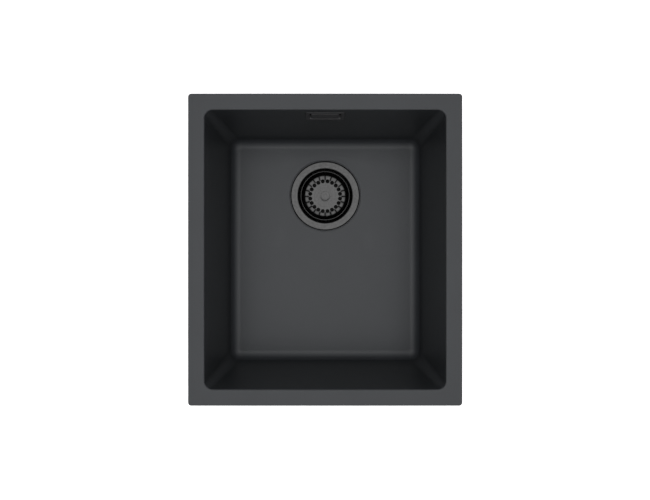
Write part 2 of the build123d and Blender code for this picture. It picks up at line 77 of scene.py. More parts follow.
def rounded(corners, closed=True, steps=8, support=0.5):
    """A profile with its corners rounded, from (across, height, rounding) corners.

    Each straight run gets a point near both of its ends, which keeps flat faces flat to the eye.
    """
    arcs = []
    for index, (across, height, rounding) in enumerate(corners):
        here = Vector((across, height))
        if rounding == 0:
            arcs.append([here])
            continue
        before = (Vector(corners[index - 1][:2]) - here).normalized()
        after = (Vector(corners[(index + 1) % len(corners)][:2]) - here).normalized()
        half = before.angle(after) / 2
        middle = here + (before + after).normalized() * rounding / sin(half)
        first = here + before * rounding / tan(half) - middle
        last = here + after * rounding / tan(half) - middle
        turn = pi - 2 * half
        arc = []
        for step in range(steps + 1):
            share = step / steps
            arc.append(middle + (first * sin((1 - share) * turn) + last * sin(share * turn)) / sin(turn))
        arcs.append(arc)
    points = []
    for index, arc in enumerate(arcs):
        points += arc
        if index == len(arcs) - 1 and not closed:
            break
        run = arcs[(index + 1) % len(arcs)][0] - arc[-1]
        if run.length > 4 * support:
            points.append(arc[-1] + run.normalized() * support)
            points.append(arc[-1] + run - run.normalized() * support)
    return [tuple(point) for point in points]


def between(here, there, share):
    """The point at a share of the way from one point to another."""
    return tuple(a + (b - a) * share for a, b in zip(here, there))


def rounded_loop(half_x, half_y, corner):
    """Points round a rounded rectangle, the same number for every size."""
    corners = []
    for quarter, (x, y) in enumerate(((1, 1), (-1, 1), (-1, -1), (1, -1))):
        for step in range(corner_steps + 1):
            angle = (quarter + step / corner_steps) * pi / 2
            across = x * (half_x - corner) + corner * cos(angle)
            along = y * (half_y - corner) + corner * sin(angle)
            corners.append((across, along))
    points = []
    for index, point in enumerate(corners):
        points.append(point)
        if index % (corner_steps + 1) == corner_steps:
            following = corners[(index + 1) % len(corners)]
            for step in range(1, side_steps):
                points.append(between(point, following, step / side_steps))
    return points


def put(name, data):
    """A new object in the scene, from a mesh, a camera or a lamp."""
    made = bpy.data.objects.new(name, data)
    bpy.context.scene.collection.objects.link(made)
    return made


def skin(name, rows, ring=True, place=Matrix()):
    """A closed mesh over rows of points in millimetres: a ring of rows, or rows with flat ends."""
    shape = bmesh.new()
    made = [[shape.verts.new(place @ Vector(point) * mm) for point in row] for row in rows]
    count = len(rows[0])
    for index in range(len(rows) if ring else len(rows) - 1):
        row = made[index]
        after = made[(index + 1) % len(rows)]
        for i in range(count):
            j = (i + 1) % count
            shape.faces.new((row[i], row[j], after[j], after[i]))
    if not ring:
        shape.faces.new(reversed(made[0]))
        shape.faces.new(made[-1])
    bmesh.ops.recalc_face_normals(shape, faces=shape.faces)
    if shape.calc_volume(signed=True) < 0:
        bmesh.ops.reverse_faces(shape, faces=shape.faces)
    mesh = bpy.data.meshes.new(name)
    shape.to_mesh(mesh)
    shape.free()
    return put(name, mesh)


def combine(piece, way, others):
    """Joins other solids to a piece, or cuts them out of it, and removes them."""
    for other in others:
        step = piece.modifiers.new(other.name, "BOOLEAN")
        step.operation = way
        step.solver = "EXACT"
        step.object = other
    graph = bpy.context.evaluated_depsgraph_get()
    result = bpy.data.meshes.new_from_object(piece.evaluated_get(graph))
    piece.modifiers.clear()
    shape = bmesh.new()
    shape.from_mesh(result)
    bmesh.ops.remove_doubles(shape, verts=shape.verts, dist=weld_reach)
    shape.to_mesh(result)
    shape.free()
    piece.data = result
    for other in others:
        bpy.data.objects.remove(other)


def finished(piece, material, body, slot, *nodes):
    """Gives a piece its shading, its material, and its place in the object."""
    piece.data.shade_smooth()
    piece.data.set_sharp_from_angle(angle=sharp_angle)
    piece.data.materials.clear()
    piece.data.materials.append(material)
    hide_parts(*nodes)
    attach(piece, body)


def level(offset, height):
    """A row round the bowl, from how far it lies outside the edge of the opening."""
    corner = mouth_corner + offset - height * (wall_slope + corner_growth)
    if offset > rim_land / 2:
        corner = rim_corner + offset - rim_land
    loop = rounded_loop(mouth_half[0] + offset, mouth_half[1] + offset, corner)
    return [(x, y, height) for x, y in loop]


def on_floor(x, y):
    """Height of the sloping floor."""
    return floor_z + max(0.0, hypot(x, y - waste_y) - recess_radius) * floor_fall


def bowl_rows():
    """Rows from the rim's edge down the inside, through the waste hole and up the outside."""
    mid_rim = -rim_thickness / 2
    floor_offset = floor_z * wall_slope
    floor_reach = floor_fillet + edge_break
    inside = [
        (rim_land, mid_rim, 0),
        (rim_land, 0, rim_top_round),
        (0, 0, mouth_round),
        (floor_offset, floor_z, floor_fillet),
        (floor_offset - floor_reach, floor_z, 0),
    ]
    rows = []
    for offset, height in rounded(inside, closed=False, steps=12, support=1.0):
        row = level(offset, height)
        if height < floor_z / 2:
            row = [(x, y, z + on_floor(x, y) - floor_z) for x, y, z in row]
        rows.append(row)

    waste = [
        (recess_radius + 3 * edge_break, floor_z, 0),
        (recess_radius, floor_z, edge_break),
        (recess_radius, recess_z, edge_break / 2),
        (hole_radius, recess_z, edge_break),
        (hole_radius, pad_z, edge_break),
        (pad_radius, pad_z, edge_break),
        (pad_radius, underside_z, edge_break),
        (pad_radius + 3 * edge_break, underside_z, 0),
    ]
    aims = [atan2(y - waste_y, x) for x, y, z in rows[-1]]
    waste_rows = []
    for radius, height in rounded(waste, closed=False, steps=4, support=0.3):
        waste_rows.append([(radius * cos(aim), waste_y + radius * sin(aim), height) for aim in aims])
    floor_rows = []
    for share in (0.25, 0.5, 0.75):
        row = []
        for edge, near in zip(rows[-1], waste_rows[0]):
            x, y = between(edge[:2], near[:2], share)
            row.append((x, y, on_floor(x, y)))
        floor_rows.append(row)

    low_offset = wall + underside_z * wall_slope
    low_reach = underside_fillet + edge_break
    outside = [
        (low_offset - low_reach, underside_z, 0),
        (low_offset, underside_z, underside_fillet),
        (wall - rim_thickness * wall_slope, -rim_thickness, rim_root),
        (rim_land, -rim_thickness, rim_lower_round),
        (rim_land, mid_rim - rim_seam, 0),
    ]
    outer_rows = [level(*point) for point in rounded(outside, closed=False, steps=12, support=1.0)]
    return rows + floor_rows + waste_rows + outer_rows


def facing(origin, right, out):
    """The place whose X and Z axes point along two directions."""
    x = Vector(right)
    z = Vector(out)
    place = Matrix((x, z.cross(x), z)).transposed().to_4x4()
    place.translation = Vector(origin)
    return place


def circle(radius, height, steps=61, start=0.3):
    """Points round a circle; the odd count and start keep a cut's corners off the rows that it cuts."""
    turns = [2 * pi * (step + start) / steps for step in range(steps)]
    return [(radius * cos(turn), radius * sin(turn), height) for turn in turns]


def bar(name, radius, bottom, top, place=Matrix()):
    """A plain round bar along a place's Z axis."""
    return skin(name, [circle(radius, bottom), circle(radius, top)], ring=False, place=place)


def slab(name, width, height, corner, back, front, place=Matrix()):
    """A flat block with rounded corners, square to a place's Z axis."""
    loop = rounded_loop(width / 2, height / 2, corner)
    return skin(name, [[(x, y, z) for x, y in loop] for z in (back, front)], ring=False, place=place)


overflow_z = -31.0
overflow_recess = 3.5
overflow_plate = (54.0, 33.0, 3.0)  # width, height and corner of recess, gasket and elbow's plate
overflow_way = (46.0, 25.0, 3.0)    # and of the way through the wall, the gasket and the plate
into_bowl = (0, -cos(draft), sin(draft))
wall_depth = wall * cos(draft)
wall_inside = facing((0, mouth_half[1] + overflow_z * wall_slope, overflow_z), (1, 0, 0), into_bowl)
wall_outside = wall_inside @ Matrix.Translation((0, 0, -wall_depth))
insert_radius = 4.2
insert_hole = insert_radius + 0.05
insert_top = -4.0
insert_edge = 6.5                  # from the middle of an insert to the rim's edge
side_insert_y = 120.0
end_insert_x = 105.0
side_insert_x = mouth_half[0] + rim_land - insert_edge
end_insert_y = mouth_half[1] + rim_land - insert_edge
insert_places = []
for x in (-1, 1):
    for y in (-1, 1):
        insert_places.append((side_insert_x * x, side_insert_y * y, 0))
        insert_places.append((end_insert_x * x, end_insert_y * y, 0))

bowl = skin("bowl", bowl_rows())
recess = slab("overflow recess", *overflow_plate, -overflow_recess, overflow_recess, wall_inside)
passage = slab("overflow hole", *overflow_way, -2 * wall, -overcut, wall_inside)
bowl_cuts = [recess, passage]
for at in insert_places:
    place = Matrix.Translation(at)
    bowl_cuts.append(bar("insert hole", insert_hole, -rim_thickness - overcut, insert_top, place))
combine(bowl, "DIFFERENCE", bowl_cuts)


def linear(code):
    """A colour written as sRGB hex, in linear light."""
    values = [int(code[i:i + 2], 16) / 255 for i in (1, 3, 5)]
    return tuple(v / 12.92 if v <= 0.04045 else ((v + 0.055) / 1.055) ** 2.4 for v in values) + (1.0,)


def add(material, kind, inputs, to=None, **settings):
    """Adds a node with its settings, and with its inputs as values or as links from other nodes.

    Its first output is linked to another input, where one is given. Gives the node's outputs.
    """
    made = material.node_tree.nodes.new("ShaderNode" + kind)
    for key, value in settings.items():
        setattr(made, key, value)
    for key, value in inputs.items():
        if isinstance(value, bpy.types.NodeSocket):
            material.node_tree.links.new(value, made.inputs[key])
        else:
            made.inputs[key].default_value = value
    if to is not None:
        material.node_tree.links.new(made.outputs[0], to)
    return made.outputs


def new_material(name, **values):
    """A material with its shader's plain values set."""
    material = bpy.data.materials.new(name)
    material.use_nodes = True
    shader = material.node_tree.nodes["Principled BSDF"]
    for key, value in values.items():
        shader.inputs[key.replace("_", " ")].default_value = value
    return material, shader.inputs


# Quartz composite, cast against a matt mould: even dark grey, with a fine grain of sand in it.
# The sand is 0.1 to 0.3 mm. Its tone is drawn at 1.6 mm and its relief at 0.8 mm, because finer
# grain wouldn't show. A very faint cloud of 60 mm lies over the tone.
composite, face = new_material("quartz composite, cast", Roughness=0.41, Specular_IOR_Level=0.68)
where = add(composite, "TexCoord", {})["Object"]
sand = add(composite, "TexNoise",
           {"Vector": where, "Scale": 1 / (1.6 * mm), "Detail": 3.0, "Roughness": 0.6})
cloud = add(composite, "TexNoise", {"Vector": where, "Scale": 1 / (60 * mm), "Detail": 2.0})
tone = add(composite, "MixRGB",
           {"Fac": sand["Fac"], "Color1": linear("#222426"), "Color2": linear("#2e3033")})
add(composite, "MixRGB", {"Fac": 0.12, "Color1": tone["Color"], "Color2": cloud["Fac"]},
    to=face["Base Color"], blend_type="OVERLAY")
grit = add(composite, "TexNoise", {"Vector": where, "Scale": 1 / (0.8 * mm), "Detail": 2.0})
add(composite, "Bump", {"Height": grit["Fac"], "Strength": 0.25, "Distance": 0.05 * mm},
    to=face["Normal"])
finished(bowl, composite, "sink", "composite", "sink_bowl")

# Rim inserts
# Turned brass bushes with an M6 thread, set in resin in the underside of the rim. The screws of
# the clips that hold the sink up go into them.
thread_rows = 8                    # rows of points along each turn of a thread
same_radius = 1e-4                 # radii that differ by less are one radius


def turned_rows(profile, steps, shape=None):
    """Rows of points that a profile of (radius, height) points gives when it turns."""
    rows = []
    for radius, height in profile:
        row = []
        for step in range(steps):
            angle = 2 * pi * step / steps
            r, z = shape(angle, radius, height) if shape else (radius, height)
            row.append((r * cos(angle), r * sin(angle), z))
        rows.append(row)
    return rows


def turned(name, profile, ring=True, place=Matrix(), steps=96, shape=None):
    """A piece turned about a place's Z axis."""
    return skin(name, turned_rows(profile, steps, shape), ring, place)


def along_thread(profile, radius, pitch):
    """Adds rows of points to a profile where it runs straight at the thread's radius."""
    points = []
    for here, there in zip(profile, profile[1:] + profile[:1]):
        points.append(here)
        if abs(here[0] - radius) < same_radius and abs(there[0] - radius) < same_radius:
            count = ceil(abs(there[1] - here[1]) / (pitch / thread_rows))
            for step in range(1, count):
                points.append((radius, here[1] + (there[1] - here[1]) * step / count))
    return points


def thread(radius, pitch, depth, low, high):
    """A right-hand thread, cut inwards at a radius; a depth below zero cuts outwards, in a hole.

    Its crests and roots are flat, with slopes between them, and it fades out over a turn at its ends.
    """
    def shape(angle, r, z):
        if abs(r - radius) > same_radius:
            return r, z
        turn = (z / pitch - angle / (2 * pi)) % 1.0
        groove = min(1.0, max(0.0, 1.5 * (1 - abs(2 * turn - 1)) - 0.25))
        fade = min(1.0, max(0.0, min(high - z, z - low) / pitch))
        return r - depth * groove * fade, z
    return shape


def threaded(name, profile, radius, pitch, depth, low, high, ring=False, place=Matrix(), steps=96):
    """A turned piece with a thread at one of its radii, between two heights."""
    profile = along_thread(profile, radius, pitch)
    return turned(name, profile, ring, place, steps, thread(radius, pitch, depth, low, high))


def mottled(name, width, dark, light, detail=2.0, depth=0.0, strength=0.2, **values):
    """A material with a mottle of a real width in its tone, and as a relief where it has a depth."""
    material, face = new_material(name, **values)
    where = add(material, "TexCoord", {})["Object"]
    mottle = add(material, "TexNoise", {"Vector": where, "Scale": 1 / width, "Detail": detail})
    height = mottle["Fac"]
    add(material, "MixRGB", {"Fac": height, "Color1": linear(dark), "Color2": linear(light)},
        to=face["Base Color"])
    if depth > 0:
        add(material, "Bump", {"Height": height, "Strength": strength, "Distance": depth},
            to=face["Normal"])
    return material


# Brass, turned: warm yellow, mottled faintly by tool marks of 0.2 mm, drawn at 0.5 mm.
brass = mottled("brass, turned", 0.5 * mm, "#a8863f", "#c9a55a", depth=0.03 * mm,
                Metallic=1.0, Roughness=0.3)

insert_bore = 2.5
clip_pitch = 1.0
clip_thread_depth = 0.45
insert_profile = rounded([
    (insert_bore, -rim_thickness, 0.3),
    (insert_radius, -rim_thickness, 0.2),
    (insert_radius, insert_top, 0.2),
    (insert_bore, insert_top, 0),
], steps=3, support=0.2)
for index, at in enumerate(insert_places):
    place = Matrix.Translation(at)
    insert = threaded(f"rim_insert_{index + 1}", insert_profile, insert_bore, clip_pitch,
                      -clip_thread_depth, -rim_thickness, insert_top, ring=True, place=place, steps=48)
    finished(insert, brass, "sink", "brass", "rim_inserts")

# Strainer cup and its gasket
# A flange and a stepped cup, pressed from one sheet of stainless steel and coated dark grey. It
# sits in the recess round the waste hole on a flat rubber ring, and the basket rests on its ledge.
at_waste = Matrix.Translation((0, waste_y, 0))
sheet = 1.2
flange_radius = 56.0
flange_roll = 2.5
flange_foot = recess_z + 0.15
flange_bend = 3.2
cup_radius = 42.5
cup_bend = 1.0
well_radius = 36.3
ledge_z = -208.893
ledge_rise = 2.4
ledge_slope = ledge_rise / (cup_radius - well_radius)
ledge_under = ledge_z + sheet * (ledge_slope - hypot(1, ledge_slope))
seat_z = -235.3
screw_hole = 3.3
drain_count = 6
drain_hole = 5.5
drain_circle = 18.35
cup_profile = rounded([
    (flange_radius - sheet, floor_z - sheet, flange_roll - sheet),
    (flange_radius - sheet, flange_foot, 0.02),
    (flange_radius, flange_foot, 0.02),
    (flange_radius, floor_z, flange_roll),
    (cup_radius, floor_z, flange_bend),
    (cup_radius, ledge_z + ledge_rise, cup_bend),
    (well_radius, ledge_z, 0.2),
    (well_radius, seat_z, cup_bend),
    (screw_hole, seat_z, 0.15),
    (screw_hole, seat_z - sheet, 0.15),
    (well_radius + sheet, seat_z - sheet, cup_bend + sheet),
    (well_radius + sheet, ledge_under, cup_bend),
    (cup_radius + sheet, ledge_under + ledge_rise, cup_bend + sheet),
    (cup_radius + sheet, floor_z - sheet, flange_bend - sheet),
])


def ring_of_bars(name, count, start, ring_radius, radius, bottom, top):
    """Round bars that stand on a circle round the waste."""
    bars = []
    for index in range(count):
        turn = Matrix.Rotation((index + start) * 2 * pi / count, 4, "Z")
        place = at_waste @ turn @ Matrix.Translation((ring_radius, 0, 0))
        bars.append(bar(name, radius, bottom, top, place))
    return bars


cup = turned("strainer_cup_steel", cup_profile, place=at_waste, steps=180)
drains = ring_of_bars("drain hole", drain_count, 0, drain_circle, drain_hole,
                      seat_z - 3 * sheet, seat_z + sheet)
combine(cup, "DIFFERENCE", drains)

# Stainless steel with a dark vapour coating, brushed in rings: satin, nearly neutral grey.
# Brush lines are about 0.1 mm apart, and are drawn at 1 mm so that they show, with a mottle of
# the coating at 3 mm.
coated, face = new_material("stainless steel, brushed, coated", Metallic=1.0, Roughness=0.26)
where = add(coated, "TexCoord", {})["Object"]
flat = add(coated, "Mapping", {"Vector": where, "Location": (0, -waste_y * mm, 0), "Scale": (1, 1, 0)})
out = add(coated, "VectorMath", {0: flat["Vector"]}, operation="LENGTH")
brush = add(coated, "TexNoise", {"W": out["Value"], "Scale": 1 / (1.0 * mm), "Detail": 4.0},
            noise_dimensions="1D")
patch = add(coated, "TexNoise", {"Vector": where, "Scale": 1 / (3 * mm), "Detail": 3.0})
mixed = add(coated, "MixRGB", {"Fac": 0.5, "Color1": brush["Fac"], "Color2": patch["Fac"]})
add(coated, "MixRGB",
    {"Fac": mixed["Color"], "Color1": linear("#353535"), "Color2": linear("#808080")},
    to=face["Base Color"])
add(coated, "Bump", {"Height": brush["Fac"], "Strength": 0.1, "Distance": 0.05 * mm},
    to=face["Normal"])
finished(cup, coated, "sink", "coated_steel", "strainer_cup")

# Nitrile rubber, moulded: nearly black and dull, with a soft mottle of bloom, about 4 mm wide.
rubber = mottled("nitrile rubber, moulded", 4 * mm, "#121212", "#202020", detail=4.0, depth=0.1 * mm,
                 Roughness=0.8, Specular_IOR_Level=0.25)


def rubber_ring(name, outer, inner, bottom, top, node):
    """A flat rubber ring round the waste, with softly rounded edges."""
    edge = 0.3
    corners = [(inner, bottom, edge), (outer, bottom, edge), (outer, top, edge), (inner, top, edge)]
    ring = turned(name, rounded(corners, steps=4), place=at_waste, steps=128)
    finished(ring, rubber, "sink", "rubber", node)


gasket_set_back = 1.0
gasket_edge = flange_radius - flange_roll - gasket_set_back
gasket_bore = hole_radius + gasket_set_back
rubber_ring("flange_gasket_ring", gasket_edge, gasket_bore, recess_z, floor_z - sheet, "flange_gasket")

# Waste body, floor seal, insert and screw
# A moulded polypropylene body under the floor, drawn up against a thick rubber ring by one screw
# through the cup into a brass insert in its hub. It has an overflow branch, and a cone with a
# threaded outlet is welded to its lower edge.
body_top = -217.0
body_flange_radius = 54.0
body_flange_bottom = -221.0
body_bore = 41.5
body_wall = 3.0
cylinder_z = -249.43
cone_z = -265.43
outlet_radius = 23.9
outlet_bore = 20.0
outlet_z = -289.43
outlet_pitch = 2.309
outlet_thread_depth = 1.4
outlet_thread_top = cone_z - 2.0
thread_lead = 0.5                  # from the end of a plastic thread to its first groove
branch_z = -235.08
branch_end = 68.0
branch_bore_start = 30.0           # the branch's bore starts this far from the middle of the waste
hub_radius = 8.03
hub_top = -237.5
rib_count = 4
rib_half = 1.5
rib_root = 1.5                     # how deep a rib is rooted in the hub
rib_top = -238.0
rib_bottom = -244.5
hub_bottom = -251.5
insert_bottom = -249.5
insert_outside = 5.03
close_fit = 0.03                   # between a screw, a bush or a ring and what it fits
cap_radius = 0.5                   # a turned solid's flat end is closed from this radius inwards
spigot_radius = 11.35
spigot_bore = 9.15
spigot_pitch = 2.5
spigot_thread_depth = 0.9
spigot_thread_length = 16.0
lower_joint = facing((0, waste_y + branch_end, branch_z), (1, 0, 0), (0, 1, 0))
body_profile = rounded([
    (body_bore, cylinder_z, 0.3),
    (body_bore + body_wall, cylinder_z, 0.3),
    (body_bore + body_wall, body_flange_bottom, 1.2),
    (body_flange_radius, body_flange_bottom, 0.8),
    (body_flange_radius, body_top, 0.5),
    (body_bore, body_top, 0.5),
])
waste_body = turned("waste_body_moulding", body_profile, place=at_waste, steps=144)
branch_start = body_bore + body_wall / 4 - branch_end
branch_profile = rounded([
    (cap_radius, branch_start, 0),
    (spigot_radius, branch_start, 0),
    (spigot_radius, 0, 0.6),
    (cap_radius, 0, 0),
], closed=False)
branch = threaded("branch", branch_profile, spigot_radius, spigot_pitch, spigot_thread_depth,
                  -spigot_thread_length, -thread_lead, place=lower_joint)
combine(waste_body, "UNION", [branch])
branch_bore = bar("branch bore", spigot_bore, branch_bore_start - branch_end, overcut, lower_joint)
combine(waste_body, "DIFFERENCE", [branch_bore])


def oblong(half, low, high):
    """The corners of an oblong."""
    return [(-half, low), (half, low), (half, high), (-half, high)]


hub_parts = [bar("hub", hub_radius, hub_bottom, hub_top, at_waste)]
rib_ends = (hub_radius - rib_root, body_bore + body_wall / 2)
rib_rows = [[(x, y, z) for y, z in oblong(rib_half, rib_bottom, rib_top)] for x in rib_ends]
for index in range(rib_count):
    rib_place = at_waste @ Matrix.Rotation((index + 0.5) * 2 * pi / rib_count, 4, "Z")
    hub_parts.append(skin("rib", rib_rows, ring=False, place=rib_place))
combine(waste_body, "UNION", hub_parts)
insert_seat = bar("insert seat", insert_outside + close_fit, insert_bottom, hub_top + overcut, at_waste)
combine(waste_body, "DIFFERENCE", [insert_seat])
cone_profile = rounded([
    (body_bore, cylinder_z, 0.3),
    (outlet_bore, cone_z, 2.0),
    (outlet_bore, outlet_z, 0.6),
    (outlet_radius, outlet_z, 0.8),
    (outlet_radius, cone_z, 0),
    (body_bore + body_wall, cylinder_z, 0.3),
])
outlet_cone = threaded("outlet_cone_moulding", cone_profile, outlet_radius, outlet_pitch,
                       outlet_thread_depth, outlet_z + thread_lead, outlet_thread_top, ring=True,
                       place=at_waste, steps=144)

# Polypropylene, moulded: milky white and satin, with a faint orange-peel of about 2 mm and a haze
# of about 35 mm.
moulded, face = new_material("polypropylene, moulded", Roughness=0.42)
where = add(moulded, "TexCoord", {})["Object"]
peel = add(moulded, "TexNoise", {"Vector": where, "Scale": 1 / (2 * mm), "Detail": 2.0})
haze = add(moulded, "TexNoise", {"Vector": where, "Scale": 1 / (35 * mm), "Detail": 3.0})
add(moulded, "MixRGB",
    {"Fac": haze["Fac"], "Color1": linear("#dedcd6"), "Color2": linear("#ebe9e4")},
    to=face["Base Color"])
add(moulded, "Bump", {"Height": peel["Fac"], "Strength": 0.12, "Distance": 0.1 * mm},
    to=face["Normal"])
finished(waste_body, moulded, "sink", "waste_plastic", "waste_body")
finished(outlet_cone, moulded, "sink", "waste_plastic", "outlet_cone")

rubber_ring("floor_seal_ring", body_flange_radius, hole_radius, body_top, pad_z, "floor_seal")

screw_radius = 3.0
centre_profile = rounded([
    (screw_radius + close_fit, insert_bottom, 0.2),
    (insert_outside, insert_bottom, 0.3),
    (insert_outside, hub_top, 0.3),
    (screw_radius + close_fit, hub_top, 0.3),
], steps=3, support=0.3)
centre_insert = turned("centre_insert_bush", centre_profile, place=at_waste, steps=48)
finished(centre_insert, brass, "sink", "brass", "centre_insert")

# Stainless steel, plain and cold-formed: bright grey, with faint tool marks of about 0.3 mm, which
# are drawn at 0.8 mm so that they show.
steel = mottled("stainless steel, plain", 0.8 * mm, "#b4b3b0", "#cbcac7", detail=3.0,
                depth=0.03 * mm, strength=0.1, Metallic=1.0, Roughness=0.28)


def hexagon(across_flats, height):
    """The six corners of a hexagon, from its width across the flats."""
    corner = across_flats / sqrt(3)
    return circle(corner, height, steps=6, start=0.5)


head_radius = 5.5
head_top = seat_z + 1.6
socket_flats = 4.76
socket_depth = 0.8
screw_end = insert_bottom + 1.0
screw_pitch = 1.0
screw_thread_depth = 0.5
screw_profile = rounded([
    (cap_radius, screw_end, 0),
    (screw_radius, screw_end, 0.5),
    (screw_radius, seat_z, 0),
    (head_radius, seat_z, 0.2),
    (head_radius, head_top, 0.8),
    (cap_radius, head_top, 0),
], closed=False, steps=4, support=0.2)
centre_screw = threaded("centre_screw_steel", screw_profile, screw_radius, screw_pitch, screw_thread_depth,
                        screw_end, seat_z - sheet, place=at_waste, steps=64)
socket_rows = [hexagon(socket_flats, head_top - socket_depth), hexagon(socket_flats, head_top + overcut)]
socket = skin("socket", socket_rows, ring=False, place=at_waste)
combine(centre_screw, "DIFFERENCE", [socket])
finished(centre_screw, steel, "sink", "plain_steel", "centre_screw")

# Basket, its bush and its ring
# A dish pressed from coated stainless sheet, with a rolled rim, a band of flutes and a ring of
# holes. A plastic bush in its middle guides the plug's stem, and a rubber ring in it grips the stem.
basket_sheet = 1.0
basket_rim = 39.5
basket_rim_inner = 38.2
basket_top = -201.2
bead = 2.0
knee_radius = 33.4
knee_z = -211.2
flute_inner = 25.8
dish_z = -213.2
bush_radius = 6.25
bush_hole = bush_radius + close_fit
flute_count = 20
flute_steps = 20                   # points across each flute
flute_depth = 0.9
flute_flattening = 0.125           # how much less a petal slopes than the band it is pressed from
flute_start = (flute_inner - 0.8, flute_inner + 1.6)  # radii between which the flutes grow
flute_end = (knee_radius - 0.4, knee_radius + 2.2)    # and between which they fade out
crease_share = 0.4                 # share of a flute's depth that its narrow crease has
fine_from = flute_inner - 2.0      # outside this radius the sheet has more points,
fine_run = 0.8                     # at least this close together
strain_hole = 3.2
strain_circle = 24.5
flute_slope = atan2(knee_z - dish_z, knee_radius - flute_inner)
steep_slope = atan2(basket_top - bead - knee_z, basket_rim_inner - knee_radius)


def under(radius, height, slope_inside, slope_outside):
    """The point under a bend of the basket's sheet."""
    middle = (slope_inside + slope_outside) / 2
    reach = basket_sheet / cos((slope_outside - slope_inside) / 2)
    return radius + reach * sin(middle), height - reach * cos(middle)


def smooth_step(low, high, value):
    """Rises from 0 to 1 between two values, with soft ends."""
    share = min(1.0, max(0.0, (value - low) / (high - low)))
    return share * share * (3 - 2 * share)


def fluted(angle, radius, height):
    """Presses the sheet into petals between two circles, with a narrow crease between petals."""
    inside = smooth_step(*flute_start, radius)
    outside = 1 - smooth_step(*flute_end, radius)
    petal = abs(2 * ((angle * flute_count / (2 * pi)) % 1.0) - 1)
    crease = flute_depth * ((1 - crease_share) * petal ** 2 + crease_share * petal ** 10)
    lift = flute_flattening * ((flute_inner + knee_radius) / 2 - radius)
    return radius, height + (lift - crease) * inside * outside


basket_profile = rounded([
    (bush_hole, dish_z - basket_sheet, 0.1),
    (*under(flute_inner, dish_z, 0, flute_slope), 2.0),
    (*under(knee_radius, knee_z, flute_slope, steep_slope), 6.0),
    (*under(basket_rim_inner, basket_top - bead, steep_slope, steep_slope), 0.2),
    (basket_rim, basket_top - bead, 0.5),
    (basket_rim, basket_top, 0.64),
    (basket_rim_inner, basket_top, 0.64),
    (basket_rim_inner, basket_top - bead, 0.6),
    (knee_radius, knee_z, 5.0),
    (flute_inner, dish_z, 3.0),
    (bush_hole, dish_z, 0.1),
], steps=6)
fine_profile = []
for here, there in zip(basket_profile, basket_profile[1:] + basket_profile[:1]):
    run = (Vector(there) - Vector(here)).length
    count = ceil(run / fine_run) if here[0] > fine_from else 1
    for step in range(count):
        fine_profile.append(between(here, there, step / count))
basket = turned("basket_steel", fine_profile, place=at_waste, steps=flute_count * flute_steps, shape=fluted)
strain_holes = ring_of_bars("strain hole", flute_count, 0.5, strain_circle, strain_hole,
                            dish_z - 3 * basket_sheet, dish_z + 3 * basket_sheet)
combine(basket, "DIFFERENCE", strain_holes)
finished(basket, coated, "basket", "coated_steel", "basket")

# Acetal, turned: black and smooth, mottled very faintly by tool marks, drawn at 0.6 mm.
acetal = mottled("acetal, turned", 0.6 * mm, "#1c1c1c", "#2a2a2a", Roughness=0.35)
bush_bore = 4.05
bush_lip = 6.75
bush_bottom = -216.2
bush_top = dish_z + 1.0
ring_z = dish_z - basket_sheet / 2
ring_section = 0.7
bush_profile = rounded([
    (bush_bore, bush_bottom, 0.2),
    (bush_lip, bush_bottom, 0.2),
    (bush_lip, dish_z - basket_sheet, 0.1),
    (bush_radius, dish_z - basket_sheet, 0),
    (bush_radius, dish_z, 0),
    (bush_lip, dish_z, 0.1),
    (bush_lip, bush_top, 0.3),
    (bush_bore, bush_top, 0.2),
    (bush_bore, ring_z + ring_section, 0),
    (bush_bore + 2 * ring_section, ring_z + ring_section, 0),
    (bush_bore + 2 * ring_section, ring_z - ring_section, 0),
    (bush_bore, ring_z - ring_section, 0),
], steps=3, support=0.2)
bush = turned("basket_bush_plastic", bush_profile, place=at_waste, steps=72)
finished(bush, acetal, "basket", "bush_plastic", "basket_bush")
ring_middle = bush_bore + ring_section
ring_profile = [(ring_middle + x, ring_z + z) for x, z, flat in circle(ring_section, 0, steps=16)]
grip_ring = turned("stem_ring", ring_profile, place=at_waste, steps=72)
finished(grip_ring, rubber, "basket", "rubber", "stem_o_ring")

# Plug
# A turned steel knob on a stem that slides in the basket's bush. Below the basket the stem
# carries a rubber plug, clamped between a plate above it and a washer and nut below it.
knob_radius = 7.0
knob_neck = 4.9
knob_bottom = -211.9
knob_top = -200.9
stem_radius = 4.0
stem_thread_radius = 3.0
thread_hole = stem_thread_radius + close_fit
knob_height = knob_top - knob_bottom
knob_thread_top = knob_bottom + 6.0
knob_profile = rounded([
    (thread_hole, knob_thread_top, 0),
    (thread_hole, knob_bottom, 0.2),
    (knob_radius, knob_bottom, 0.5),
    (knob_neck, knob_bottom + knob_height / 3, 2.0),
    (knob_radius, knob_bottom + 2 * knob_height / 3, 0.8),
    (knob_radius, knob_top, 0.3),
    (cap_radius, knob_top, 0),
], closed=False, steps=6, support=0.3)
knob = turned("knob_steel", knob_profile, ring=False, place=at_waste, steps=96)
finished(knob, coated, "plug", "coated_steel", "pull_knob")

plate_top = -224.5
seal_top = -225.7
web_bottom = -228.7
washer_bottom = -229.9
nut_bottom = -233.1
stem_bottom = -233.4
stem_pitch = 1.0
stem_thread_depth = 0.4
stem_profile = rounded([
    (cap_radius, stem_bottom, 0),
    (stem_thread_radius, stem_bottom, 0.5),
    (stem_thread_radius, plate_top, 0),
    (stem_radius, plate_top, 0.2),
    (stem_radius, knob_bottom, 0.2),
    (stem_thread_radius, knob_bottom, 0),
    (stem_thread_radius, knob_thread_top, 0.3),
    (cap_radius, knob_thread_top, 0),
], closed=False, steps=3, support=0.3)
stem = threaded("plug_stem_steel", stem_profile, stem_thread_radius, stem_pitch, stem_thread_depth,
                stem_bottom, seal_top, place=at_waste, steps=48)
finished(stem, steel, "plug", "plain_steel", "plug_stem")

